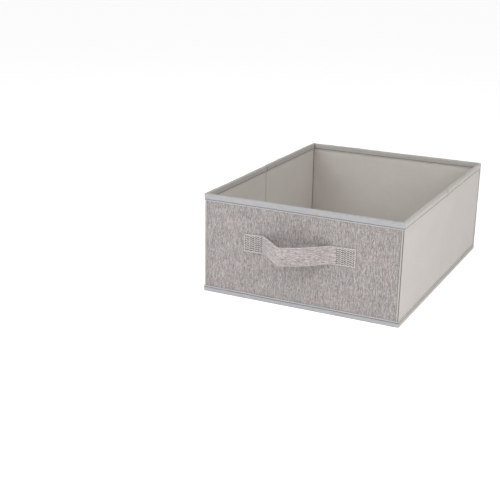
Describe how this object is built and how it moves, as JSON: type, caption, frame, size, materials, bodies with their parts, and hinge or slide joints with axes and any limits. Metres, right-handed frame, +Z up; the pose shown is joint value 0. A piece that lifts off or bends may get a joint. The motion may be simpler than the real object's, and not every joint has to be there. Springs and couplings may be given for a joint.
{
  "type": "fabric storage bin",
  "caption": "Open rectangular fabric bin with board-stiffened walls, taped rim and bottom edge, a sewn strap handle on the front, folding sides and a loose base insert.",
  "frame": {"origin": "centre of the underside of the bin, on the surface it stands on", "axes": "+Z up, -Y towards the front with the handle, +X to the right seen from the front"},
  "size_m": [0.305, 0.4438, 0.15],
  "materials": {
    "linen": "coarse heathered linen-look weave with upright slubs, grey-beige",
    "strap_linen": "the same linen-look weave turned along the strap, slightly lighter",
    "side_fabric": "fine smooth plain polyester, warm light greige",
    "lining": "fine smooth plain lining, warm greige",
    "front_tape": "folded binding tape, cool light grey, slight sheen",
    "side_tape": "folded binding tape, warm light grey, slight sheen",
    "board": "uncoated grey-brown board",
    "webbing": "undyed woven webbing",
    "thread": "spun polyester sewing thread, light grey"
  },
  "bodies": {
    "shell": {"front_cover": "linen", "front_board": "board", "front_lining": "lining", "front_rim_binding": "front_tape", "front_rim_stitches": "thread", "bottom_binding_front": "front_tape", "bottom_binding_back": "side_tape", "bottom_binding_left": "side_tape", "bottom_binding_right": "side_tape", "bottom_cover": "side_fabric", "bottom_stitches": "thread", "front_welt_left": "side_fabric", "front_welt_right": "side_fabric", "handle_stitches_left": "thread", "handle_stitches_right": "thread"},
    "left_front": {"left_front_cover": "side_fabric", "left_front_board": "board", "left_front_lining": "lining", "left_front_rim_binding": "side_tape", "left_front_rim_stitches": "thread", "fold_seam_left": "thread"},
    "left_rear": {"left_rear_cover": "side_fabric", "left_rear_board": "board", "left_rear_lining": "lining", "left_rear_rim_binding": "side_tape", "left_rear_rim_stitches": "thread"},
    "back": {"back_cover": "side_fabric", "back_board": "board", "back_lining": "lining", "back_rim_binding": "side_tape", "back_rim_stitches": "thread", "back_welt_left": "side_fabric", "back_welt_right": "side_fabric"},
    "right_front": {"right_front_cover": "side_fabric", "right_front_board": "board", "right_front_lining": "lining", "right_front_rim_binding": "side_tape", "right_front_rim_stitches": "thread", "fold_seam_right": "thread"},
    "right_rear": {"right_rear_cover": "side_fabric", "right_rear_board": "board", "right_rear_lining": "lining", "right_rear_rim_binding": "side_tape", "right_rear_rim_stitches": "thread"},
    "insert": {"insert_board": "board", "insert_cover": "lining"},
    "handle": {"handle_strap": "strap_linen", "handle_core": "webbing"}
  },
  "joints": [
    {"name": "side_fold", "type": "hinge", "parent": "shell", "child": "left_front", "pos_m": [-0.1469, -0.1974, 0.075], "axis": [0, 0, -1], "range_deg": [0, 45]},
    {"name": "left_mid_fold", "type": "hinge", "parent": "left_front", "child": "left_rear", "pos_m": [-0.1519, 0, 0.075], "axis": [0, 0, 1], "range_deg": [0, 90]},
    {"name": "back_left_fold", "type": "hinge", "parent": "left_rear", "child": "back", "pos_m": [-0.1469, 0.1974, 0.075], "axis": [0, 0, -1], "range_deg": [0, 45]},
    {"name": "right_fold", "type": "hinge", "parent": "shell", "child": "right_front", "pos_m": [0.1469, -0.1974, 0.075], "axis": [0, 0, 1], "range_deg": [0, 45]},
    {"name": "right_mid_fold", "type": "hinge", "parent": "right_front", "child": "right_rear", "pos_m": [0.1519, 0, 0.075], "axis": [0, 0, -1], "range_deg": [0, 90]},
    {"name": "insert_lift", "type": "slide", "parent": "shell", "child": "insert", "axis": [0, 0, 1], "range_m": [0, 0.16]},
    {"name": "handle_press", "type": "slide", "parent": "shell", "child": "handle", "axis": [0, 1, 0], "range_m": [0, 0.03], "stiffness_N_per_m": 20, "deforming": ["handle_strap", "handle_core"]}
  ],
  "couplings": [
    {"joint": "left_mid_fold", "follows": "side_fold", "ratio": 2},
    {"joint": "back_left_fold", "follows": "side_fold", "ratio": 1},
    {"joint": "right_fold", "follows": "side_fold", "ratio": 1},
    {"joint": "right_mid_fold", "follows": "side_fold", "ratio": 2}
  ]
}
